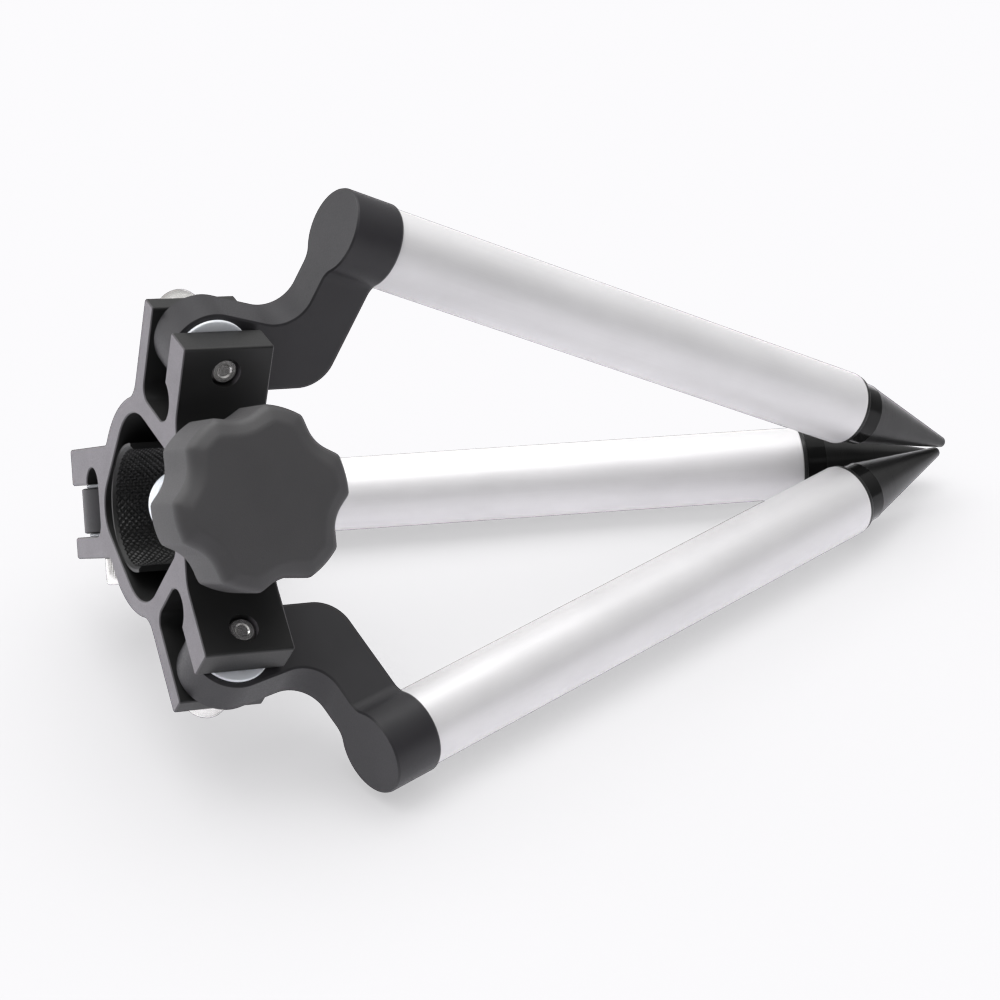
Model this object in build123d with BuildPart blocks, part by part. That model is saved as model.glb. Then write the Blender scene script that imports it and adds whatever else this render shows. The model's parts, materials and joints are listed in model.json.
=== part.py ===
from build123d import *
import os
from math import atan, cos, radians, sin, sqrt, tan

# Folding tripod for a 32 mm survey pole.  Millimetres.
# Hub frame: +Z along the pole axis and out of the hub's top face, +X towards the clamp knob.
# Leg frame: origin on the hinge pin, +Y along the pin, -Z along the leg towards its foot, +X outwards.
# At the end every piece is placed lying on the ground on two of its folded legs.

# ---- hub ----
hub_thickness = 25.0
ring_radius = 30.0
ear_end_radius = 56.0          # from the pole axis to the ends of the ears
fork_gap = 15.0
thin_ear = 6.0
thick_ear = 10.3
pin_radius_from_axis = 48.5
pin_height = -hub_thickness / 2
v_flat_distance = 23.3         # from the pole axis to the two 45 degree flats
web_distance = 24.3            # from the pole axis to the walls in front of the slots
wall_inner_x = 26.0            # the clamp screw's wall
wall_outer_x = 33.0
wall_half_width = 24.0
v_corner_fillet = 10.0
side_corner_fillet = 17.0
wall_corner_fillet = 3.0
wall_root_fillet = 10.0
ear_root_fillet = 8.0
back_root_fillet = 3.5
ear_tip_fillet = 0.8
slot_floor_fillet = 4.0
hub_edge_break = 0.3

# The relief hole at a thick ear's root: how far out it is, and how far across from the fork's middle.
root_relief = dict(relief_radius=5.7, relief_out=35.8, relief_across=6.3)
small_relief = dict(relief_radius=4.9, relief_out=38.4, relief_across=7.2)

# Each fork: azimuth, side of its thick ear (+1 is anticlockwise), where the slot's floor is,
# how many degrees its leg leans in when folded, and its relief hole.
forks = {
    "a": dict(azimuth=60, side=-1, floor=30.1, fold=19.5, **root_relief),
    "b": dict(azimuth=-60, side=1, floor=30.1, fold=20.5, **root_relief),
    "c": dict(azimuth=180, side=-1, floor=33.5, fold=19.0, **small_relief),
}

# ---- hinge ----
hinge_screw_radius = 4.0       # M8
tapped_bore_radius = 4.02
ear_bore_radius = 4.25
arm_bore_radius = 4.06
hinge_head_radius = 6.5
hinge_head_height = 8.0
hinge_screw_length = 30.0
hex_key_across = 6.0
hex_key_depth = 4.0
screw_end_chamfer = 0.8
head_edge_chamfer = 0.6
washer_radius = 10.2
washer_bore_radius = 4.3
washer_thickness = 1.0

# ---- leg arm ----
arm_width = 12.8
barrel_radius = 11.6
leg_offset = 41.0              # from the pin to the tube's axis
elbow_angle = 20.0             # between the neck's inner edge and the tube
flank_angle = 5.0              # between the neck's outer edge and the tube
boss_top = -20.0               # along the leg, from the pin
boss_length = 15.0
boss_radius = 11.75
inner_elbow_fillet = 10.0
outer_elbow_fillet = 10.0
keyhole_fillet = 5.0
keyhole_root_x = 24.0
arm_edge_break = 0.3

# ---- leg tube ----
tube_radius = 11.0
tube_wall = 2.0
tube_length = 172.5
tube_edge_break = 0.3
spigot_clearance = 0.05
arm_spigot_length = 18.0

# ---- foot ----
foot_spigot_length = 15.0
foot_flange_radius = 10.7
foot_flange_thickness = 1.2
foot_band_start_radius = 9.6
foot_band_end_radius = 9.2
foot_band_end = 7.5            # from the tube's end
foot_cone_slope = 0.223        # radius lost per length
foot_tip_radius = 1.5
foot_edge_break = 0.3

# ---- pole liner ----
pole_radius = 16.0
pole_centre_x = -8.0
liner_outer_radius = 17.7
liner_half_angle = 95.0        # each way from the -X direction
liner_inset = 1.0              # below the hub's top and bottom faces

# ---- clamp ----
tip_face_x = -1.0
tip_radius = 9.6
tip_thickness = 5.0
tip_edge_fillet = 1.0
journal_radius = 3.0
journal_length = 3.0
journal_clearance = 0.08
journal_end_play = 0.1
clamp_screw_radius = 5.0       # M10
clamp_bore_radius = 5.06
knob_bore_radius = 5.02        # fixed on the screw
clamp_screw_end_x = 54.0
knob_back_x = 41.2
knob_rim_x = 60.1
knob_face_x = 62.0
knob_radius = 24.1
knob_notch_radius = 10.0
knob_notch_floor = 21.1
knob_lobes = 6
knob_first_notch = 11.8        # degrees from +Y towards +Z
knob_lobe_fillet = 5.0
knob_bevel_width = 4.0
knob_neck_radius = 11.0
knob_neck_x = 38.0
nut_across_flats = 16.0
nut_thickness = 8.0
nut_x = 39.5

# ---- lying on the ground ----
rest_steps = 12                # the resting plane's normal settles in far fewer

# ---- derived ----
thin_outer = fork_gap / 2 + thin_ear
thick_outer = fork_gap / 2 + thick_ear
tube_top = boss_top - boss_length
tube_end = tube_top - tube_length
tube_bore_radius = tube_radius - tube_wall
spigot_radius = tube_bore_radius - spigot_clearance
v_corner_x = -v_flat_distance * sqrt(2)
side_corner_x = (web_distance + sin(radians(60)) * v_corner_x) / (cos(radians(60)) + sin(radians(60)))
side_corner_y = side_corner_x - v_corner_x
wall_corner_y = (web_distance - wall_inner_x * cos(radians(60))) / sin(radians(60))


def near(corners, *points):
    """The corners of a sketch that lie at the given points."""
    return ShapeList([corners.sort_by_distance(Vector(*p))[0] for p in points])


def polar(azimuth, radius, across=0.0):
    """A point in the hub's plane, out along an azimuth and then anticlockwise."""
    turn = radians(azimuth)
    return (radius * cos(turn) - across * sin(turn), radius * sin(turn) + across * cos(turn))


def leg_plane(fork):
    """The leg frame of one fork, in the hub frame."""
    turn, lean = radians(fork["azimuth"]), radians(fork["fold"])
    return Plane(
        origin=(*polar(fork["azimuth"], pin_radius_from_axis), pin_height),
        x_dir=(cos(lean) * cos(turn), cos(lean) * sin(turn), -sin(lean)),
        z_dir=(sin(lean) * cos(turn), sin(lean) * sin(turn), cos(lean)),
    )


def pin_plane(fork, across):
    """A plane across the pin, at a distance from the fork's middle towards its thick ear, facing that way."""
    turn = radians(fork["azimuth"])
    side = fork["side"]
    return Plane(
        origin=(*polar(fork["azimuth"], pin_radius_from_axis, side * across), pin_height),
        x_dir=(cos(turn), sin(turn), 0),
        z_dir=(-side * sin(turn), side * cos(turn), 0),
    )


# ================================================================ hub
with BuildSketch() as pole_opening:
    with BuildLine():
        Polyline(
            (v_corner_x, 0),
            (side_corner_x, side_corner_y),
            (wall_inner_x, wall_corner_y),
            (wall_inner_x, -wall_corner_y),
            (side_corner_x, -side_corner_y),
            close=True,
        )
    make_face()
    fillet(near(pole_opening.vertices(), (v_corner_x, 0)), v_corner_fillet)
    fillet(
        near(pole_opening.vertices(), (side_corner_x, side_corner_y), (side_corner_x, -side_corner_y)),
        side_corner_fillet,
    )
    fillet(
        near(pole_opening.vertices(), (wall_inner_x, wall_corner_y), (wall_inner_x, -wall_corner_y)),
        wall_corner_fillet,
    )

with BuildPart() as hub:
    with BuildSketch() as hub_sketch:
        Circle(ring_radius)
        Rectangle(wall_outer_x, 2 * wall_half_width, align=(Align.MIN, Align.CENTER))
        for fork in forks.values():
            middle = fork["side"] * (thick_outer - thin_outer) / 2
            with Locations(Location((*polar(fork["azimuth"], 0, middle), 0), (0, 0, fork["azimuth"]))):
                Rectangle(ear_end_radius, thin_outer + thick_outer, align=(Align.MIN, Align.CENTER))
        ring_corners = hub_sketch.vertices().filter_by(
            lambda v: abs(Vector(v.X, v.Y).length - ring_radius) < 0.01
        )
        fillet(ring_corners.filter_by(lambda v: v.X < v_corner_x / 2), back_root_fillet)
        ring_corners = hub_sketch.vertices().filter_by(
            lambda v: abs(Vector(v.X, v.Y).length - ring_radius) < 0.01 and v.X > v_corner_x / 2
        )
        fillet(ring_corners, ear_root_fillet)
        wall_root_y = (wall_outer_x * sin(radians(60)) - thick_outer) / cos(radians(60))
        wall_roots = near(hub_sketch.vertices(), (wall_outer_x, wall_root_y), (wall_outer_x, -wall_root_y))
        fillet(wall_roots, wall_root_fillet)
        add(pole_opening.sketch, mode=Mode.SUBTRACT)
        # the slots, each with a relief hole at its thick ear's root
        for fork in forks.values():
            azimuth, side = fork["azimuth"], fork["side"]
            with Locations(Location((*polar(azimuth, fork["floor"]), 0), (0, 0, azimuth))):
                Rectangle(ear_end_radius, fork_gap, align=(Align.MIN, Align.CENTER), mode=Mode.SUBTRACT)
            with Locations(polar(azimuth, fork["relief_out"], side * fork["relief_across"])):
                Circle(fork["relief_radius"], mode=Mode.SUBTRACT)
            floor_corner = near(hub_sketch.vertices(), polar(azimuth, fork["floor"], -side * fork_gap / 2))
            fillet(floor_corner, slot_floor_fillet)
            tips = [-thin_outer, -fork_gap / 2, fork_gap / 2, thick_outer]
            ear_corners = [polar(azimuth, ear_end_radius, side * tip) for tip in tips]
            fillet(near(hub_sketch.vertices(), *ear_corners), ear_tip_fillet)
    extrude(amount=-hub_thickness)
    chamfer(hub.faces().sort_by(Axis.Z)[-1].edges(), hub_edge_break)
    chamfer(hub.faces().sort_by(Axis.Z)[0].edges(), hub_edge_break)
    for fork in forks.values():
        with Locations(pin_plane(fork, -fork_gap / 2).location):
            Hole(ear_bore_radius, depth=thin_ear)
        with Locations(pin_plane(fork, thick_outer).location):
            Hole(tapped_bore_radius, depth=thick_ear)
    with Locations(Plane(origin=(wall_outer_x, 0, pin_height), z_dir=(1, 0, 0)).location):
        Hole(clamp_bore_radius, depth=wall_outer_x - wall_inner_x)

# ================================================================ pole liner
with BuildPart() as pole_liner:
    with BuildSketch(Plane.XY.offset(-liner_inset)) as liner_sketch:
        with BuildLine():
            start, sweep = 180 - liner_half_angle, 2 * liner_half_angle
            outer = CenterArc((pole_centre_x, 0), liner_outer_radius, start, sweep)
            inner = CenterArc((pole_centre_x, 0), pole_radius, start, sweep)
            Line(outer @ 0, inner @ 0)
            Line(outer @ 1, inner @ 1)
        make_face()
        # flats that seat in the hub's V
        for turn in (135, 225):
            with Locations(Location((*polar(turn, v_flat_distance), 0), (0, 0, turn))):
                Rectangle(ring_radius, 4 * pole_radius, align=(Align.MIN, Align.CENTER), mode=Mode.SUBTRACT)
    extrude(amount=-(hub_thickness - 2 * liner_inset))

# ================================================================ leg arm, in the leg frame
elbow, flank = radians(elbow_angle), radians(flank_angle)
neck_inner_start = (-barrel_radius * cos(elbow), -barrel_radius * sin(elbow))
neck_outer_start = (barrel_radius * cos(flank), barrel_radius * sin(flank))
inner_corner = (neck_inner_start[0] + (neck_inner_start[1] - tube_top) * tan(elbow), tube_top)
outer_corner = (neck_outer_start[0] + (neck_outer_start[1] - boss_top) * tan(flank), boss_top)

with BuildPart() as arm:
    with BuildSketch(Plane.XZ) as arm_side:
        with BuildLine():
            Polyline(
                (0, 0),
                neck_outer_start,
                outer_corner,
                (leg_offset, boss_top),
                (leg_offset, tube_top),
                inner_corner,
                neck_inner_start,
                close=True,
            )
        make_face()
        fillet(near(arm_side.vertices(), outer_corner), outer_elbow_fillet)
        fillet(near(arm_side.vertices(), inner_corner), inner_elbow_fillet)
        Circle(barrel_radius)
    extrude(amount=arm_width / 2, both=True)
    with BuildSketch(Plane.XY.offset(boss_top)) as keyhole:
        with Locations((leg_offset, 0)):
            Circle(boss_radius)
        with Locations((keyhole_root_x, 0)):
            Rectangle(leg_offset - keyhole_root_x, arm_width, align=(Align.MIN, Align.CENTER))
        junction_x = leg_offset - sqrt(boss_radius**2 - (arm_width / 2) ** 2)
        waist = near(keyhole.vertices(), (junction_x, arm_width / 2), (junction_x, -arm_width / 2))
        fillet(waist, keyhole_fillet)
    extrude(amount=-boss_length)
    chamfer(arm.faces().filter_by(Axis.Z).edges(), arm_edge_break)
    chamfer(arm.faces().filter_by(Axis.Y).edges(), arm_edge_break)
    with BuildSketch(Plane.XY.offset(tube_top)):
        with Locations((leg_offset, 0)):
            Circle(spigot_radius)
    extrude(amount=-arm_spigot_length)
    with Locations(Plane(origin=(0, arm_width / 2, 0), z_dir=(0, 1, 0)).location):
        Hole(arm_bore_radius, depth=arm_width)

# ================================================================ leg tube, in the leg frame
with BuildPart() as tube:
    with BuildSketch(Plane.XY.offset(tube_top)):
        with Locations((leg_offset, 0)):
            Circle(tube_radius)
            Circle(tube_bore_radius, mode=Mode.SUBTRACT)
    extrude(amount=-tube_length)
    rims = tube.edges().filter_by(GeomType.CIRCLE).filter_by(lambda e: e.radius > tube_bore_radius)
    chamfer(rims, tube_edge_break)

# ================================================================ foot, in the leg frame
cone_turn = atan(foot_cone_slope)
cone_length = (foot_band_end_radius - foot_tip_radius * cos(cone_turn)) / foot_cone_slope
cone_end = foot_band_end + cone_length
tip_centre = cone_end - foot_tip_radius * sin(cone_turn)
foot_length = tip_centre + foot_tip_radius
tip_bulge = (
    foot_tip_radius * sin((radians(90) - cone_turn) / 2),
    tip_centre + foot_tip_radius * cos((radians(90) - cone_turn) / 2),
)


def below_tube(radius, down):
    """A point of the foot's profile: its radius, and how far below the tube's end."""
    return (leg_offset + radius, tube_end - down)


with BuildPart() as foot:
    with BuildSketch(Plane.XZ):
        with BuildLine():
            Polyline(
                below_tube(0, -foot_spigot_length),
                below_tube(spigot_radius - foot_edge_break, -foot_spigot_length),
                below_tube(spigot_radius, -foot_spigot_length + foot_edge_break),
                below_tube(spigot_radius, 0),
                below_tube(foot_flange_radius, 0),
                below_tube(foot_flange_radius, foot_flange_thickness - foot_edge_break),
                below_tube(foot_flange_radius - foot_edge_break, foot_flange_thickness),
                below_tube(foot_band_start_radius, foot_flange_thickness),
                below_tube(foot_band_end_radius, foot_band_end),
                below_tube(foot_tip_radius * cos(cone_turn), cone_end),
            )
            ThreePointArc(
                below_tube(foot_tip_radius * cos(cone_turn), cone_end),
                below_tube(*tip_bulge),
                below_tube(0, foot_length),
            )
            Line(below_tube(0, foot_length), below_tube(0, -foot_spigot_length))
        make_face()
    revolve(axis=Axis((leg_offset, 0, 0), (0, 0, 1)))

# ================================================================ hinge screw and washers
# Pin frame: origin in the middle of the fork, +Z along the pin towards the thick ear.
with BuildPart() as hinge_screw:
    with BuildSketch(Plane.XY.offset(-thin_outer)):
        Circle(hinge_head_radius)
    extrude(amount=-hinge_head_height)
    chamfer(hinge_screw.edges().sort_by(Axis.Z)[0], head_edge_chamfer)
    with BuildSketch(Plane.XY.offset(-thin_outer)):
        Circle(hinge_screw_radius)
    extrude(amount=hinge_screw_length)
    chamfer(hinge_screw.edges().sort_by(Axis.Z)[-1], screw_end_chamfer)
    with BuildSketch(Plane.XY.offset(-thin_outer - hinge_head_height)):
        RegularPolygon(hex_key_across / 2, 6, major_radius=False)
    extrude(amount=hex_key_depth, mode=Mode.SUBTRACT)

with BuildPart() as washer:
    with BuildSketch(Plane.XY.offset(fork_gap / 2 - washer_thickness)):
        Circle(washer_radius)
        Circle(washer_bore_radius, mode=Mode.SUBTRACT)
    extrude(amount=washer_thickness)

# ================================================================ clamp, on the axis of its screw
# Clamp frame: +Z along the hub's +X, through the screw's axis, with the hub's +Y as its +X.
clamp_axis = Plane(origin=(0, 0, pin_height), x_dir=(0, 1, 0), z_dir=(1, 0, 0))
tip_back_x = tip_face_x + tip_thickness
shoulder_x = tip_back_x + journal_end_play

with BuildPart() as clamp_tip:
    with BuildSketch(Plane.XY.offset(tip_face_x)):
        Circle(tip_radius)
    extrude(amount=tip_thickness)
    fillet(clamp_tip.edges().sort_by(Axis.Z)[0], tip_edge_fillet)
    with Locations((0, 0, tip_back_x)):
        Hole(journal_radius + journal_clearance, depth=journal_length + journal_end_play)

with BuildPart() as clamp_screw:
    with BuildSketch(Plane.XY.offset(shoulder_x)):
        Circle(clamp_screw_radius)
    extrude(amount=clamp_screw_end_x - shoulder_x)
    chamfer(clamp_screw.edges().sort_by(Axis.Z)[0], screw_end_chamfer)
    with BuildSketch(Plane.XY.offset(shoulder_x)):
        Circle(journal_radius)
    extrude(amount=-journal_length)

with BuildPart() as knob:
    with BuildSketch(Plane.XY.offset(knob_back_x)) as knob_sketch:
        Circle(knob_radius)
        with PolarLocations(knob_notch_floor + knob_notch_radius, knob_lobes, start_angle=knob_first_notch):
            Circle(knob_notch_radius, mode=Mode.SUBTRACT)
        fillet(knob_sketch.vertices(), knob_lobe_fillet)
    extrude(amount=knob_face_x - knob_back_x)
    front = knob.faces().sort_by(Axis.Z)[-1]
    chamfer(front.edges(), knob_bevel_width, knob_face_x - knob_rim_x, reference=front)
    with BuildSketch(Plane.XY.offset(knob_back_x)):
        Circle(knob_neck_radius)
    extrude(amount=-(knob_back_x - knob_neck_x))
    with BuildSketch(Plane.XY.offset(nut_x)):
        RegularPolygon(nut_across_flats / 2, 6, major_radius=False)
    extrude(amount=nut_thickness, mode=Mode.SUBTRACT)
    with BuildSketch(Plane.XY.offset(knob_neck_x)):
        Circle(knob_bore_radius)
    extrude(amount=clamp_screw_end_x - knob_neck_x, mode=Mode.SUBTRACT)

with BuildPart() as knob_nut:
    with BuildSketch(Plane.XY.offset(nut_x)):
        RegularPolygon(nut_across_flats / 2, 6, major_radius=False)
        Circle(knob_bore_radius, mode=Mode.SUBTRACT)
    extrude(amount=nut_thickness)

# ================================================================ every piece in the hub frame
pieces = {
    "hub": hub.part,
    "pole_liner": pole_liner.part,
    "clamp_tip": clamp_tip.part.moved(clamp_axis.location),
    "clamp_screw": clamp_screw.part.moved(clamp_axis.location),
    "knob": knob.part.moved(clamp_axis.location),
    "knob_nut": knob_nut.part.moved(clamp_axis.location),
}
for letter, fork in forks.items():
    leg = leg_plane(fork).location
    pin = pin_plane(fork, 0).location
    turned_pin = pin * Location((0, 0, 0), (180, 0, 0))
    pieces[f"arm_{letter}"] = arm.part.moved(leg)
    pieces[f"tube_{letter}"] = tube.part.moved(leg)
    pieces[f"foot_{letter}"] = foot.part.moved(leg)
    pieces[f"hinge_screw_{letter}"] = hinge_screw.part.moved(pin)
    pieces[f"tapped_side_washer_{letter}"] = washer.part.moved(pin)
    pieces[f"head_side_washer_{letter}"] = washer.part.moved(turned_pin)


# ================================================================ lying on legs b and c
def on_leg(letter, down):
    """A point on a leg's tube axis, in the hub frame."""
    return (leg_plane(forks[letter]).location * Location((leg_offset, 0, -down))).position


# The ground touches round sections of both bosses and of one tube end.
supports = [
    (on_leg("b", -boss_top), boss_radius),
    (on_leg("c", -boss_top), boss_radius),
    (on_leg("b", -tube_end), tube_radius),
]
up = Vector(0, 0, 1)
for step in range(rest_steps):
    touching = [centre - up * radius for centre, radius in supports]
    up = (touching[1] - touching[0]).cross(touching[2] - touching[0]).normalized()
    if up.X < 0:
        up = -up
forward = (Vector(0, 0, -1) - up * up.dot(Vector(0, 0, -1))).normalized()
ground = Plane(origin=(0, 0, 0), x_dir=forward, z_dir=up)
lying = ground.location.inverse()
box = Compound([piece.moved(lying) for piece in pieces.values()]).bounding_box()
centred = Location((-(box.min.X + box.max.X) / 2, -(box.min.Y + box.max.Y) / 2, -box.min.Z))

os.makedirs("parts", exist_ok=True)
for name, piece in pieces.items():
    placed = piece.moved(lying).moved(centred)
    placed.label = name
    export_step(placed, f"parts/{name}.step")

# Where the hub frame and the joints' axes lie once the tripod is on the ground, in metres.
hub_place = centred * lying
to_metres = 0.001


def row_point(location):
    """A location's origin after placing, in metres."""
    return [round(c * to_metres, 6) for c in (hub_place * location).position]


def row_direction(vector):
    """A direction of the hub frame after placing."""
    tail = (hub_place * Location((0, 0, 0))).position
    head = (hub_place * Location(vector)).position
    return [round(c, 7) for c in (head - tail)]


print("hub origin", row_point(Location((0, 0, 0))), "size", [round(c, 2) for c in box.size])
print("hub x, y, z", row_direction((1, 0, 0)), row_direction((0, 1, 0)), row_direction((0, 0, 1)))
for letter, fork in forks.items():
    pin = leg_plane(fork).location
    print("pin", letter, row_point(pin), "opens about", row_direction((*polar(fork["azimuth"], 0, -1), 0)))
print("clamp", row_point(clamp_axis.location), "pole", row_point(Location((pole_centre_x, 0, 0))))
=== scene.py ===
import json
import math

import bmesh
import bpy
from mathutils import Matrix, Vector


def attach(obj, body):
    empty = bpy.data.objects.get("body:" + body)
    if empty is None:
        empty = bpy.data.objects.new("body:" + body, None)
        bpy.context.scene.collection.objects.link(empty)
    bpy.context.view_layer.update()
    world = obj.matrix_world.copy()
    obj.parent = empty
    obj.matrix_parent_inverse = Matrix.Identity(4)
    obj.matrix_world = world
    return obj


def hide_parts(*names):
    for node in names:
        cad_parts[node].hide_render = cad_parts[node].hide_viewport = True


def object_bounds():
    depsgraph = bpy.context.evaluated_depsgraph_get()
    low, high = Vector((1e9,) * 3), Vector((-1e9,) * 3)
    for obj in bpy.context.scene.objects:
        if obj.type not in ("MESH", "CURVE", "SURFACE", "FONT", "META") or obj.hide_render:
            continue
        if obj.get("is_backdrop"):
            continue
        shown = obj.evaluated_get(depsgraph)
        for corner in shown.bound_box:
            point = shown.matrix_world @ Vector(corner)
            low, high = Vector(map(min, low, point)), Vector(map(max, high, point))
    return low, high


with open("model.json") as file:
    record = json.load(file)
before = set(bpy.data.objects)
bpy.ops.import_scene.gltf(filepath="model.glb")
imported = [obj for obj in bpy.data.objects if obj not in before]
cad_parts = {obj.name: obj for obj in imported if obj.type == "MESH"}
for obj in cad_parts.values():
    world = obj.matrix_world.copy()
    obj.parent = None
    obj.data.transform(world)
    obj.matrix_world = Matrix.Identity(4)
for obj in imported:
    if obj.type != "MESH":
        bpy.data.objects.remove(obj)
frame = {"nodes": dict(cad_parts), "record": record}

cad_low, cad_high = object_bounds()

# Lengths below are in millimetres, as in the part's own drawing; the frame is in metres.
MM = 0.001
TAU = 2 * math.pi

# ------------------------------ frames taken from the record
record = frame["record"]
joints = {joint["name"]: joint for joint in record["behaviour"]["joints"]}
seat = next(mount for mount in record["mounts"] if mount["name"] == "pole_seat")
pole_centre_x = -8.0
half_plate = 12.5
hub_z = Vector(seat["axis"]).normalized()
hub_x = Vector(joints["clamp_feed"]["axis"]).normalized()
hub_y = hub_z.cross(hub_x)


def placing(origin, x, y, z):
    """The matrix that takes millimetres along x, y and z from origin into the row's frame."""
    rows = Matrix((x, y, z)).transposed().to_4x4()
    return Matrix.Translation(origin) @ rows @ Matrix.Scale(MM, 4)


hub_origin = Vector(seat["pos_m"]) - (pole_centre_x * hub_x - half_plate * hub_z) * MM
hub_place = placing(hub_origin, hub_x, hub_y, hub_z)
clamp_place = placing(Vector(joints["knob_turn"]["pos_m"]), hub_y, hub_z, hub_x)

# Degrees each leg leans in when folded, as in the part, and the side of its fork's thick ear.
folded_lean = {"a": 19.5, "b": 20.5, "c": 19.0}
thick_ear_side = {"a": -1, "b": 1, "c": -1}
leg_place, pin_place = {}, {}
for letter, fold in folded_lean.items():
    side = thick_ear_side[letter]
    joint = joints[f"leg_{letter}_fold"]
    pin, across = Vector(joint["pos_m"]), -Vector(joint["axis"]).normalized()
    outward = across.cross(hub_z)
    lean = math.radians(fold)
    leg_x = math.cos(lean) * outward - math.sin(lean) * hub_z
    leg_z = math.sin(lean) * outward + math.cos(lean) * hub_z
    leg_place[letter] = placing(pin, leg_x, across, leg_z)
    pin_place[letter] = placing(pin, outward, (side * across).cross(outward), side * across)


# ------------------------------ mesh making
def rings_to_mesh(name, rings, place, loop=False, caps=False, sharp=35):
    """A smooth mesh through closed rings of points; a ring of one point closes an end."""
    mesh = bpy.data.meshes.new(name)
    bm = bmesh.new()
    layer = bm.loops.layers.uv.new("UVMap")
    rows = [[bm.verts.new(place @ Vector(point)) for point in ring] for ring in rings]
    along = [0.0]
    for low, high in zip(rings, rings[1:]):
        along.append(along[-1] + (Vector(low[0]) - Vector(high[0])).length)
    count = max(len(row) for row in rows)
    last = len(rows) if loop else len(rows) - 1
    for k in range(last):
        a, b = rows[k], rows[(k + 1) % len(rows)]
        va, vb = along[k], along[k + 1] if k + 1 < len(along) else along[-1] + 1
        for i in range(count):
            j = i + 1
            corners = [
                (a[i % len(a)], i, va),
                (a[j % len(a)], j, va),
                (b[j % len(b)], j, vb),
                (b[i % len(b)], i, vb),
            ]
            if len(a) == 1:
                corners.pop(1)
            elif len(b) == 1:
                corners.pop(2)
            face = bm.faces.new([corner[0] for corner in corners])
            for corner, (_, u, v) in zip(face.loops, corners):
                corner[layer].uv = (u / count, v)
    if caps:
        bm.faces.new(rows[0][::-1])
        bm.faces.new(rows[-1])
    bmesh.ops.recalc_face_normals(bm, faces=bm.faces)
    for face in bm.faces:
        face.smooth = True
    bm.to_mesh(mesh)
    bm.free()
    mesh.set_sharp_from_angle(angle=math.radians(sharp))
    piece = bpy.data.objects.new(name, mesh)
    bpy.context.scene.collection.objects.link(piece)
    return piece


def circle_ring(radius, height, count, centre_x=0.0):
    """A ring about the axis; radius is a number or a function of the angle."""
    if radius == 0:
        return [(centre_x, 0, height)]
    points = []
    for i in range(count):
        turn = TAU * i / count
        r = radius(turn) if callable(radius) else radius
        points.append((centre_x + r * math.cos(turn), r * math.sin(turn), height))
    return points


def rounded(corners, radius, steps=4):
    """A profile of (radius, height) corners, each inner one rounded.

    A corner may give its own radius as a third number.
    """
    out = [corners[0][:2]]
    for before, corner, after in zip(corners, corners[1:], corners[2:]):
        here = Vector(corner[:2])
        r = corner[2] if len(corner) > 2 else radius
        to_before, to_after = Vector(before[:2]) - here, Vector(after[:2]) - here
        bend = to_before.angle(to_after)
        reach = min(r / math.tan(bend / 2), to_before.length * 0.49, to_after.length * 0.49)
        if reach < 1e-4 or bend > math.radians(176):
            out.append(tuple(here))
            continue
        start, end = here + to_before.normalized() * reach, here + to_after.normalized() * reach
        for step in range(steps + 1):
            t = step / steps
            out.append(tuple(start * (1 - t) ** 2 + here * (2 * t * (1 - t)) + end * t**2))
    out.append(corners[-1][:2])
    return out


def lathe(name, profile, place, count=96, centre_x=0.0, loop=False):
    """A turned piece from a profile of (radius, height)."""
    rings = [circle_ring(r, h, count, centre_x) for r, h in profile]
    return rings_to_mesh(name, rings, place, loop=loop)


def saw(value):
    """A triangle wave of period 1: 0 at whole numbers and 1 half way between."""
    return 1 - abs(2 * (value % 1.0) - 1)


def thread_rings(radius, pitch, depth, start, end, count, chamfer_start, chamfer_end):
    """Rings of a right-hand thread.

    The chamfers say how far in from each end the crest is turned down.
    """
    rings_per_turn = 8
    steps = max(2, round((end - start) / pitch * rings_per_turn))
    rings = []
    for k in range(steps + 1):
        height = start + (end - start) * k / steps
        lead_in = max(0.0, chamfer_start - (height - start), chamfer_end - (end - height))
        limit = radius - lead_in

        def shape(turn, height=height, limit=limit):
            crest = min(1.0, 1.25 * saw(height / pitch - turn / TAU))
            return min(limit, radius - depth * (1 - crest))

        rings.append(circle_ring(shape, height, count))
    return rings


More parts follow.
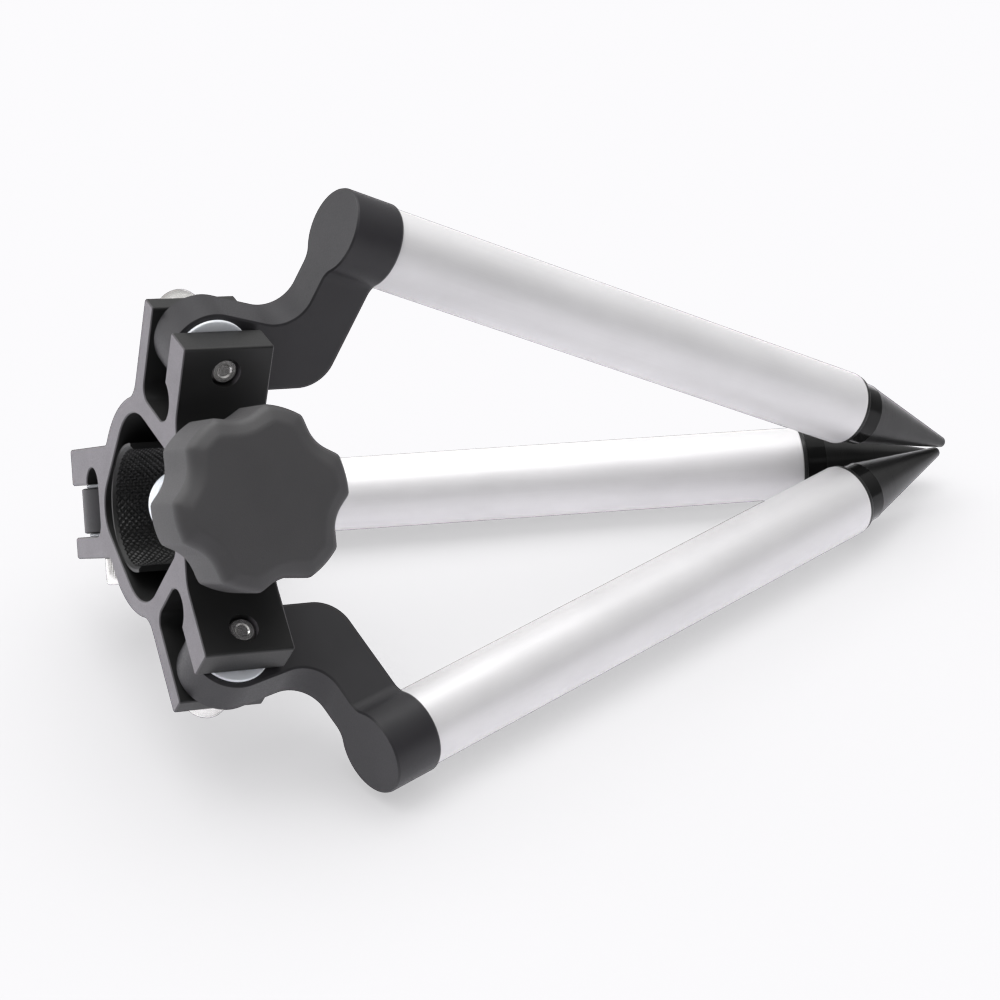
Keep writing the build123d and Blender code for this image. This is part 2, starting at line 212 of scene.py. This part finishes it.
# ------------------------------ materials
class Shader:
    """A node material around one Principled shader."""

    def __init__(self, name, roughness, metallic=0.0, ior=1.5):
        self.material = bpy.data.materials.new(name)
        self.material.use_nodes = True
        self.nodes = self.material.node_tree.nodes
        self.links = self.material.node_tree.links
        self.surface = self.nodes["Principled BSDF"]
        self.surface.inputs["Roughness"].default_value = roughness
        self.surface.inputs["Metallic"].default_value = metallic
        self.surface.inputs["IOR"].default_value = ior
        self.place = self.nodes.new("ShaderNodeTexCoord")

    def noise(self, scale, coords="Object", stretch=(1, 1, 1), detail=3.0, roughness=0.55):
        """A noise pattern's value.

        Scale is features per metre, or per unit of the stretched coordinates.
        """
        mapping = self.nodes.new("ShaderNodeMapping")
        mapping.inputs["Scale"].default_value = stretch
        self.links.new(self.place.outputs[coords], mapping.inputs["Vector"])
        texture = self.nodes.new("ShaderNodeTexNoise")
        texture.inputs["Scale"].default_value = scale
        texture.inputs["Detail"].default_value = detail
        texture.inputs["Roughness"].default_value = roughness
        self.links.new(mapping.outputs["Vector"], texture.inputs["Vector"])
        return texture.outputs["Fac"]

    def ramp(self, value, stops):
        """A colour ramp over a value; each stop is a position and a colour."""
        node = self.nodes.new("ShaderNodeValToRGB")
        while len(node.color_ramp.elements) < len(stops):
            node.color_ramp.elements.new(1.0)
        for element, (position, colour) in zip(node.color_ramp.elements, stops):
            element.position = position
            element.color = (*colour, 1)
        self.links.new(value, node.inputs["Fac"])
        return node.outputs["Color"]

    def math(self, operation, a, b=None, clamp=False):
        """A math node on two values."""
        node = self.nodes.new("ShaderNodeMath")
        node.operation = operation
        node.use_clamp = clamp
        for socket, value in zip(node.inputs, (a, b)):
            if value is None:
                continue
            if isinstance(value, (int, float)):
                socket.default_value = value
            else:
                self.links.new(value, socket)
        return node.outputs["Value"]

    def mix(self, factor, a, b, blend="MIX"):
        """A mix of two colours."""
        node = self.nodes.new("ShaderNodeMix")
        node.data_type = "RGBA"
        node.blend_type = blend
        for socket, value in zip((node.inputs[0], node.inputs[6], node.inputs[7]), (factor, a, b)):
            if isinstance(value, (int, float)):
                socket.default_value = value
            elif isinstance(value, tuple):
                socket.default_value = (*value, 1)
            else:
                self.links.new(value, socket)
        return node.outputs[2]

    def facing(self, direction, start, end):
        """1 where the surface faces along or against a direction, 0 where it is turned away."""
        dot = self.nodes.new("ShaderNodeVectorMath")
        dot.operation = "DOT_PRODUCT"
        dot.inputs[1].default_value = direction
        self.links.new(self.place.outputs["Normal"], dot.inputs[0])
        size = self.math("ABSOLUTE", dot.outputs["Value"])
        span = self.nodes.new("ShaderNodeMapRange")
        span.inputs["From Min"].default_value = start
        span.inputs["From Max"].default_value = end
        self.links.new(size, span.inputs["Value"])
        return span.outputs["Result"]

    def colour(self, value):
        """The base colour, from a colour output."""
        self.links.new(value, self.surface.inputs["Base Color"])
        return self

    def rough(self, value, low, high):
        """Roughness that varies with a pattern between low and high."""
        span = self.nodes.new("ShaderNodeMapRange")
        span.inputs["From Min"].default_value = 0.3
        span.inputs["From Max"].default_value = 0.7
        span.inputs["To Min"].default_value = low
        span.inputs["To Max"].default_value = high
        self.links.new(value, span.inputs["Value"])
        self.links.new(span.outputs["Result"], self.surface.inputs["Roughness"])
        return self

    def bump(self, value, height_mm, strength=1.0):
        """Relief from a pattern, on top of any relief already there."""
        node = self.nodes.new("ShaderNodeBump")
        node.inputs["Distance"].default_value = height_mm * MM
        node.inputs["Strength"].default_value = strength
        self.links.new(value, node.inputs["Height"])
        previous = self.surface.inputs["Normal"]
        if previous.is_linked:
            self.links.new(previous.links[0].from_socket, node.inputs["Normal"])
        self.links.new(node.outputs["Normal"], previous)
        return self


def grey(value, tint=(1.0, 1.0, 1.0)):
    """A colour of even red, green and blue, or of that tint."""
    return tuple(value * part for part in tint)


# Black anodised plate: the faces square to the hub's axis are greyer than the walls, a painted
# sheen for the light that falls on them.
plate = Shader("black_anodised_plate", 0.42, ior=1.4)
cloud = plate.noise(90)
grain = plate.noise(2600, detail=2)
milled = plate.ramp(cloud, [(0.3, grey(0.010)), (0.75, grey(0.014))])
# Painted sheen: the lit grey given to the faces square to the hub's axis.
painted_sheen = plate.ramp(cloud, [(0.3, (0.130, 0.120, 0.134)), (0.75, (0.165, 0.153, 0.169))])
painted_sheen = plate.mix(plate.math("MULTIPLY", grain, 0.35), painted_sheen, grey(0.2), "MULTIPLY")
plate.colour(plate.mix(plate.facing(tuple(hub_z), 0.55, 0.97), milled, painted_sheen))
plate.rough(grain, 0.34, 0.46)
plate.bump(grain, 0.02, 0.5)

# Satin black arms, bead blasted before anodising.
satin = Shader("satin_black_arm", 0.46, ior=1.38)
cloud = satin.noise(70)
grain = satin.noise(2200, detail=2)
satin_tones = [(0.3, (0.0165, 0.0158, 0.0182)), (0.75, (0.0225, 0.0215, 0.0245))]
satin.colour(satin.ramp(cloud, satin_tones))
satin.rough(grain, 0.40, 0.52)
satin.bump(grain, 0.03, 0.6)

# Clear anodised drawn tube, with faint lines along it.
silver = Shader("silver_anodised_tube", 0.52, metallic=0.3)
lines = silver.noise(1.0, "UV", (420, 0.02, 1), detail=2)
cloud = silver.noise(1.0, "UV", (3, 0.03, 1), detail=3)
faint_pink = (1.0, 0.988, 1.0)
tone = silver.ramp(cloud, [(0.3, grey(0.68, faint_pink)), (0.7, grey(0.74, faint_pink))])
silver.colour(silver.mix(silver.math("MULTIPLY", lines, 0.12), tone, grey(0.6), "MULTIPLY"))
silver.rough(lines, 0.42, 0.54)
silver.bump(lines, 0.01, 0.35)

# Feet: black, turned, with fine tool rings.
turned = Shader("turned_black_foot", 0.34, ior=1.36)
rings = turned.noise(1.0, "UV", (0.6, 9.0, 1), detail=2)
cloud = turned.noise(120)
turned.colour(turned.ramp(cloud, [(0.3, grey(0.012)), (0.75, grey(0.020))]))
turned.rough(rings, 0.26, 0.40)
turned.bump(rings, 0.02, 0.5)

glossy = Shader("glossy_black_band", 0.16, ior=1.24)
rings = glossy.noise(1.0, "UV", (0.6, 9.0, 1), detail=2)
glossy.colour(glossy.ramp(rings, [(0.3, grey(0.008)), (0.75, grey(0.012))]))
glossy.rough(rings, 0.10, 0.20)
glossy.bump(rings, 0.01, 0.3)

# White nylon.
nylon = Shader("white_nylon", 0.42, ior=1.5)
cloud = nylon.noise(180)
grain = nylon.noise(1800, detail=2)
nylon.colour(nylon.ramp(cloud, [(0.3, (0.76, 0.79, 0.85)), (0.75, (0.84, 0.87, 0.93))]))
nylon.surface.inputs["Subsurface Weight"].default_value = 0.5
nylon.surface.inputs["Subsurface Radius"].default_value = (1, 1, 1)
nylon.surface.inputs["Subsurface Scale"].default_value = 0.002
nylon.bump(grain, 0.02, 0.5)

# Knob: finely textured dark grey plastic.
plastic = Shader("matt_dark_plastic", 0.6, ior=1.46)
cloud = plastic.noise(60)
grain = plastic.noise(3200, detail=3, roughness=0.7)
plastic_tones = [(0.3, (0.041, 0.0398, 0.0415)), (0.75, (0.049, 0.0478, 0.0495))]
plastic.colour(plastic.ramp(cloud, plastic_tones))
plastic.rough(grain, 0.5, 0.68)
plastic.bump(grain, 0.05, 0.8)

# Liner: black, with its ends, which face along the hub's axis, painted greyer as a highlight for
# the light on them.
shell = Shader("black_liner", 0.4, ior=1.35)
cloud = shell.noise(150)
grain = shell.noise(2600)
dark = shell.ramp(cloud, [(0.3, grey(0.004)), (0.75, grey(0.007))])
# Painted highlight: faces along the hub's axis take a lighter grey.
shell.colour(shell.mix(shell.facing(tuple(hub_z), 0.7, 0.97), dark, grey(0.014)))
shell.bump(grain, 0.03, 0.6)

# Stainless screws.
steel = Shader("bright_steel", 0.25, metallic=1.0)
cloud = steel.noise(400)
turning = steel.noise(1.0, "UV", (1.0, 12.0, 1), detail=2)
steel.colour(steel.ramp(cloud, [(0.3, (0.70, 0.69, 0.67)), (0.75, (0.82, 0.81, 0.79))]))
steel.rough(turning, 0.18, 0.32)
steel.bump(turning, 0.01, 0.4)

brass = Shader("turned_brass", 0.35, metallic=1.0)
cloud = brass.noise(300)
grain = brass.noise(2500)
brass.colour(brass.ramp(cloud, [(0.3, (0.62, 0.46, 0.2)), (0.75, (0.72, 0.56, 0.28))]))
brass.bump(grain, 0.01, 0.5)


def dress(piece, shader, nodes=(), body=None):
    """A new piece's material, the nodes it stands for, the body it moves with and its finish."""
    piece.data.materials.clear()
    piece.data.materials.append(shader.material)
    if nodes:
        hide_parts(*nodes)
    if body:
        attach(piece, body)
    return piece


def repaint(node, shader):
    """A CAD node keeps its shape and takes a better material."""
    data = frame["nodes"][node].data
    if not data.materials:
        data.materials.append(shader.material)
    for index in range(len(data.materials)):
        data.materials[index] = shader.material


# ------------------------------ hub, arms and nut keep their shapes
repaint("hub", plate)
repaint("knob_nut", brass)
for letter in folded_lean:
    repaint(f"arm_{letter}", satin)

# ------------------------------ legs
leg_offset = 41.0  # the tube's centre line, from the hinge pin
tube_top, tube_end = -35.0, -207.5
tube_radius, tube_bore = 11.0, 9.0
spigot_radius, spigot_length = 8.95, 15.0
flange_radius, flange_base = 10.7, tube_end - 1.2
band_top, band_bottom = tube_end - 1.4, tube_end - 7.5
for letter in folded_lean:
    place = leg_place[letter]
    walls = rounded(
        [
            (tube_bore, (tube_top + tube_end) / 2),
            (tube_bore, tube_top, 0.2),
            (tube_radius, tube_top, 0.35),
            (tube_radius, tube_end, 0.55),
            (tube_bore, tube_end, 0.2),
            (tube_bore, (tube_top + tube_end) / 2 - 1),
        ],
        0.3,
    )
    tube = lathe(f"leg_tube_{letter}", walls, place, 128, leg_offset, loop=True)
    dress(tube, silver, [f"tube_{letter}"], f"leg_{letter}")
    foot_profile = rounded(
        [
            (0, tube_end + spigot_length),
            (spigot_radius, tube_end + spigot_length, 0.5),
            (spigot_radius, tube_end - 0.05, 0.02),
            (flange_radius, tube_end - 0.05, 0.15),
            (flange_radius, flange_base, 0.35),
            (9.6, tube_end - 1.5, 0.15),
            (9.25, tube_end - 7.4, 0.15),
            (9.1, tube_end - 7.6, 0.05),
            (1.45, tube_end - 42.4, 1.4),
            (0, tube_end - 43.45),
        ],
        0.1,
        5,
    )
    foot = lathe(f"pointed_foot_{letter}", foot_profile, place, 96, leg_offset)
    dress(foot, turned, [f"foot_{letter}"], f"leg_{letter}")
    foot.data.materials.append(glossy.material)
    back_to_leg = place.inverted()
    for face in foot.data.polygons:
        height = (back_to_leg @ face.center).z
        face.material_index = 1 if band_bottom < height < band_top else 0

# ------------------------------ hinge screws and washers
fork_gap, thin_ear = 15.0, 6.0
head_height, socket_depth, socket_half = 8.0, 4.0, 3.0
head_base = -fork_gap / 2 - thin_ear
head_top = head_base - head_height
screw_radius, head_radius = 4.0, 6.5
washer_radius, washer_bore, washer_thickness = 10.2, 4.3, 1.0
screw_pitch, screw_depth, screw_end = 1.25, 0.55, 16.5
screw_count = 180
head_ridges, ridge_depth = 60, 0.16


def hexagon(turn, across=socket_half):
    """A hexagon of that half width across its flats."""
    return across / math.cos((turn + math.pi / 6) % (math.pi / 3) - math.pi / 6)


def knurled(turn):
    """The head's ridged side."""
    return head_radius - ridge_depth * (1 - saw(turn / TAU * head_ridges))


for letter in folded_lean:
    rings = [
        circle_ring(0, head_top + 5.2, 1),
        circle_ring(lambda turn: hexagon(turn, 2.95), head_top + socket_depth, screw_count),
        circle_ring(hexagon, head_top + 0.35, screw_count),
        circle_ring(3.75, head_top, screw_count),
    ]
    crown = rounded([(3.75, head_top), (6.2, head_top, 0.7), (6.3, head_top + 1.2, 0.1)], 0.5)
    for radius, height in crown[1:]:
        rings.append(circle_ring(radius, height, screw_count))
    for height in (head_top + 1.5, head_top + 4.0, head_base - 0.5):
        rings.append(circle_ring(knurled, height, screw_count))
    for radius, height in ((6.2, head_base - 0.25), (6.1, head_base), (screw_radius, head_base)):
        rings.append(circle_ring(radius, height, screw_count))
    rings.append(circle_ring(screw_radius, fork_gap / 2 - 0.6, screw_count))
    rings += thread_rings(
        screw_radius, screw_pitch, screw_depth, fork_gap / 2, screw_end, screw_count, 0.0, 0.9
    )
    rings.append(circle_ring(2.0, screw_end, screw_count))
    rings.append(circle_ring(1.6, 16.2, screw_count))
    rings.append(circle_ring(0, 16.1, 1))
    screw = rings_to_mesh(f"cap_screw_{letter}", rings, pin_place[letter], sharp=28)
    dress(screw, steel, [f"hinge_screw_{letter}"], "hub_body")
    for name, sign in (("tapped_side_washer", 1), ("head_side_washer", -1)):
        inner = sign * (fork_gap / 2 - washer_thickness)
        outer = sign * fork_gap / 2
        ring_profile = rounded(
            [
                (washer_bore, (inner + outer) / 2),
                (washer_bore, outer, 0.1),
                (washer_radius, outer, 0.3),
                (washer_radius, inner, 0.3),
                (washer_bore, inner, 0.1),
                (washer_bore, (inner + outer) / 2 - 0.05 * sign),
            ],
            0.2,
        )
        disc = lathe(f"nylon_{name}_{letter}", ring_profile, pin_place[letter], 72, loop=True)
        dress(disc, nylon, [f"{name}_{letter}"], "hub_body")

# ------------------------------ clamp
knob_count = 216
knob_lobe = math.pi / 3  # six lobes
knob_radius, notch_radius, notch_centre = 24.1, 10.0, 31.1
first_notch = math.radians(11.8)
lobe_softness = 2.4
knob_face, knob_back, neck_end = 62.0, 41.2, 38.0
screw_bore = 5.05


def knob_outline(inset):
    """The lobed outline, moved inwards by an inset, as a radius for each angle."""

    def radius(turn):
        off = (turn - first_notch + knob_lobe / 2) % knob_lobe - knob_lobe / 2
        reach = notch_radius + inset
        lobe = knob_radius - inset
        inside = reach**2 - (notch_centre * math.sin(off)) ** 2
        if inside <= 0:
            return lobe
        notch = notch_centre * math.cos(off) - math.sqrt(inside)
        blend = max(0.0, lobe_softness - abs(lobe - notch)) / lobe_softness
        return min(lobe, notch) - blend**2 * lobe_softness / 4

    return radius


# The rim as (how far in from the outline, height), from the front face round to the back.
edge = rounded(
    [
        (9.5, knob_face),
        (4.2, knob_face, 4.0),
        (0.0, 59.9, 3.4),
        (0.0, knob_back, 1.2),
        (4.0, knob_back),
    ],
    1.0,
    8,
)
rings = [circle_ring(radius, knob_face, knob_count) for radius in (0, 2.0, 9.0)]
rings += [circle_ring(knob_outline(inset), height, knob_count) for inset, height in edge]
neck = rounded(
    [(13.0, knob_back), (11.0, 40.9, 0.8), (10.8, neck_end, 0.4), (5.3, neck_end)], 0.5
)
for radius, height in neck:
    rings.append(circle_ring(radius, height, knob_count))
rings.append(circle_ring(screw_bore, 38.3, knob_count))
rings.append(circle_ring(screw_bore, 52.0, knob_count))
rings.append(circle_ring(0, 54.0, 1))
hand_knob = rings_to_mesh("hand_knob", rings, clamp_place, sharp=40)
dress(hand_knob, plastic, ["knob"], "hand_screw")

rod_count = 64
rod_radius, rod_pitch, rod_depth = 5.0, 1.5, 0.75
rod_thread_start, rod_end = 4.1, 53.9
rod_nose = [(0, 1.0), (2.6, 1.0), (3.0, 1.4), (3.0, rod_thread_start)]
rings = [circle_ring(radius, height, rod_count) for radius, height in rod_nose]
rings += thread_rings(
    rod_radius, rod_pitch, rod_depth, rod_thread_start, rod_end, rod_count, 0.8, 0.8
)
rings.append(circle_ring(0, rod_end, 1))
rod = rings_to_mesh("clamp_screw_rod", rings, clamp_place, sharp=28)
dress(rod, steel, ["clamp_screw"], "hand_screw")

tip_profile = rounded(
    [
        (0, -0.75),
        (6.0, -0.9, 1.0),
        (8.0, -1.0, 0.5),
        (9.6, -1.0, 1.2),
        (9.6, 2.2, 0.3),
        (9.2, 2.6, 0.3),
        (9.2, 4.0, 0.6),
        (3.4, 4.0, 0.2),
        (3.1, 3.7, 0.1),
        (3.1, 0.9, 0.2),
        (0, 0.9),
    ],
    0.3,
)
tip = lathe("clamp_tip_pad", tip_profile, clamp_place, 96)
dress(tip, nylon, ["clamp_tip"], "tip")

# ------------------------------ liner with a checkered inner face
liner_half = math.radians(95.0)
inner_radius, outer_radius = 16.0, 17.7
opening_flat = 23.3  # from the hub's middle to each flat of the V
flat_distance = opening_flat + pole_centre_x * math.cos(math.radians(45))
check_pitch, check_depth = 1.9, 0.4
check_width = 0.35  # share of the pitch that stays flat
rim_chamfer = 0.9
liner_top, liner_bottom = -1.0, -24.0
arc_steps, height_steps = 230, 96


def outer_reach(turn):
    """The shell's outside, cut back where it seats on the hub's two flats."""
    reach = outer_radius
    for flat in (135, 225):
        toward = math.cos(turn - math.radians(flat))
        if toward > 0:
            reach = min(reach, flat_distance / toward)
    return reach


rings = []
for k in range(height_steps + 1):
    share = k / height_steps
    height = liner_top + (liner_bottom - liner_top) * share
    fade = min(1.0, min(share, 1 - share) * 14)
    ring = []
    for i in range(arc_steps + 1):
        turn = math.pi - liner_half + 2 * liner_half * i / arc_steps
        arc = inner_radius * turn
        groove = 1 - min(saw((arc + height) / check_pitch), saw((arc - height) / check_pitch))
        cut = max(0.0, groove - check_width) / (1 - check_width) * check_depth * fade
        if i in (0, arc_steps):
            cut = 0.0
        chamfer = max(0.0, rim_chamfer - min(liner_top - height, height - liner_bottom))
        ring.append((turn, inner_radius + max(cut, chamfer)))
    for i in range(arc_steps, -1, -2):
        turn = math.pi - liner_half + 2 * liner_half * i / arc_steps
        ring.append((turn, outer_reach(turn)))
    rings.append(
        [(pole_centre_x + r * math.cos(turn), r * math.sin(turn), height) for turn, r in ring]
    )
liner = rings_to_mesh("pole_liner_shell", rings, hub_place, caps=True, sharp=25)
dress(liner, shell, ["pole_liner"], "hub_body")

# ------------------------------ floor, light and camera
low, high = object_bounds()
centre = (low + high) / 2
scene = bpy.context.scene


def area_light(name, position, size, watts, colour=(1, 1, 1)):
    """A soft square light that points at the middle of the object."""
    data = bpy.data.lights.new(name, "AREA")
    data.shape = "SQUARE"
    data.size = size
    data.energy = watts
    data.color = colour
    light = bpy.data.objects.new(name, data)
    light.location = centre + Vector(position)
    light.rotation_euler = (-Vector(position)).to_track_quat("-Z", "Y").to_euler()
    scene.collection.objects.link(light)
    return light


area_light("overhead", (-0.1, 0.25, 1.1), 1.0, 15)
area_light("back_left", (-0.85, 0.6, 0.4), 0.8, 4)
# Lights the floor alone, so that it comes out near white around a soft shadow.
wash = area_light("floor_wash", (0, 0, 1.6), 3.0, 340, (1.0, 0.985, 1.0))

world = bpy.data.worlds.new("studio")
scene.world = world
world.use_nodes = True
tree = world.node_tree
background = tree.nodes["Background"]
coords = tree.nodes.new("ShaderNodeTexCoord")
split = tree.nodes.new("ShaderNodeSeparateXYZ")
tree.links.new(coords.outputs["Generated"], split.inputs["Vector"])


def world_span(value, start, end, low_value, high_value):
    """A smooth step of the sky's brightness along one direction."""
    node = tree.nodes.new("ShaderNodeMapRange")
    node.interpolation_type = "SMOOTHSTEP"
    node.inputs["From Min"].default_value = start
    node.inputs["From Max"].default_value = end
    node.inputs["To Min"].default_value = low_value
    node.inputs["To Max"].default_value = high_value
    tree.links.new(value, node.inputs["Value"])
    return node.outputs["Result"]


around = world_span(split.outputs["Y"], -0.8, 0.9, 0.12, 0.52)
above = world_span(split.outputs["Z"], 0.15, 0.95, 0.0, 0.6)
total = tree.nodes.new("ShaderNodeMath")
total.operation = "ADD"
tree.links.new(around, total.inputs[0])
tree.links.new(above, total.inputs[1])
# The camera sees an even pale backdrop, and the object is lit by the graded sky.
path = tree.nodes.new("ShaderNodeLightPath")
choose = tree.nodes.new("ShaderNodeMix")
choose.data_type = "RGBA"
tree.links.new(path.outputs["Is Camera Ray"], choose.inputs[0])
tree.links.new(total.outputs["Value"], choose.inputs[6])
choose.inputs[7].default_value = (0.97, 0.965, 0.98, 1)
tree.links.new(choose.outputs[2], background.inputs["Color"])

floor_mesh = bpy.data.meshes.new("floor")
reach = 6.0
floor_corners = [(-reach, -reach, 0), (reach, -reach, 0), (reach, reach, 0), (-reach, reach, 0)]
floor_mesh.from_pydata(floor_corners, [], [(0, 1, 2, 3)])
floor = bpy.data.objects.new("floor", floor_mesh)
scene.collection.objects.link(floor)
floor_gap = 0.0002
floor.location.z = cad_low.z - floor_gap
pale = Shader("pale_floor", 0.9)
pale.surface.inputs["Base Color"].default_value = (0.17, 0.17, 0.175, 1)
floor_mesh.materials.append(pale.material)
floor.is_shadow_catcher = True
floor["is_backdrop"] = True
only_floor = bpy.data.collections.new("only_floor")
only_floor.objects.link(floor)
wash.light_linking.receiver_collection = only_floor
wash.light_linking.blocker_collection = only_floor

# The camera, placed in the hub's frame.
camera_data = bpy.data.cameras.new("camera")
camera = bpy.data.objects.new("camera", camera_data)
scene.collection.objects.link(camera)
scene.camera = camera
camera_data.sensor_width = 36.0
camera_data.lens = 104.364
camera_data.clip_start, camera_data.clip_end = 0.01, 20
camera_spot = (746.369, -1.39, 260.452)
camera_right = Vector((0.442723, -0.06849, -0.894039))
camera_up = Vector((0.026589, 0.997643, -0.06326))
camera_axes = Matrix((camera_right, camera_up, camera_right.cross(camera_up))).transposed()
turn = (hub_place.to_3x3() @ camera_axes).normalized()
camera.matrix_world = Matrix.Translation(hub_place @ Vector(camera_spot)) @ turn.to_4x4()

scene.view_settings.view_transform = "Standard"
scene.view_settings.look = "None"

low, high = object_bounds()
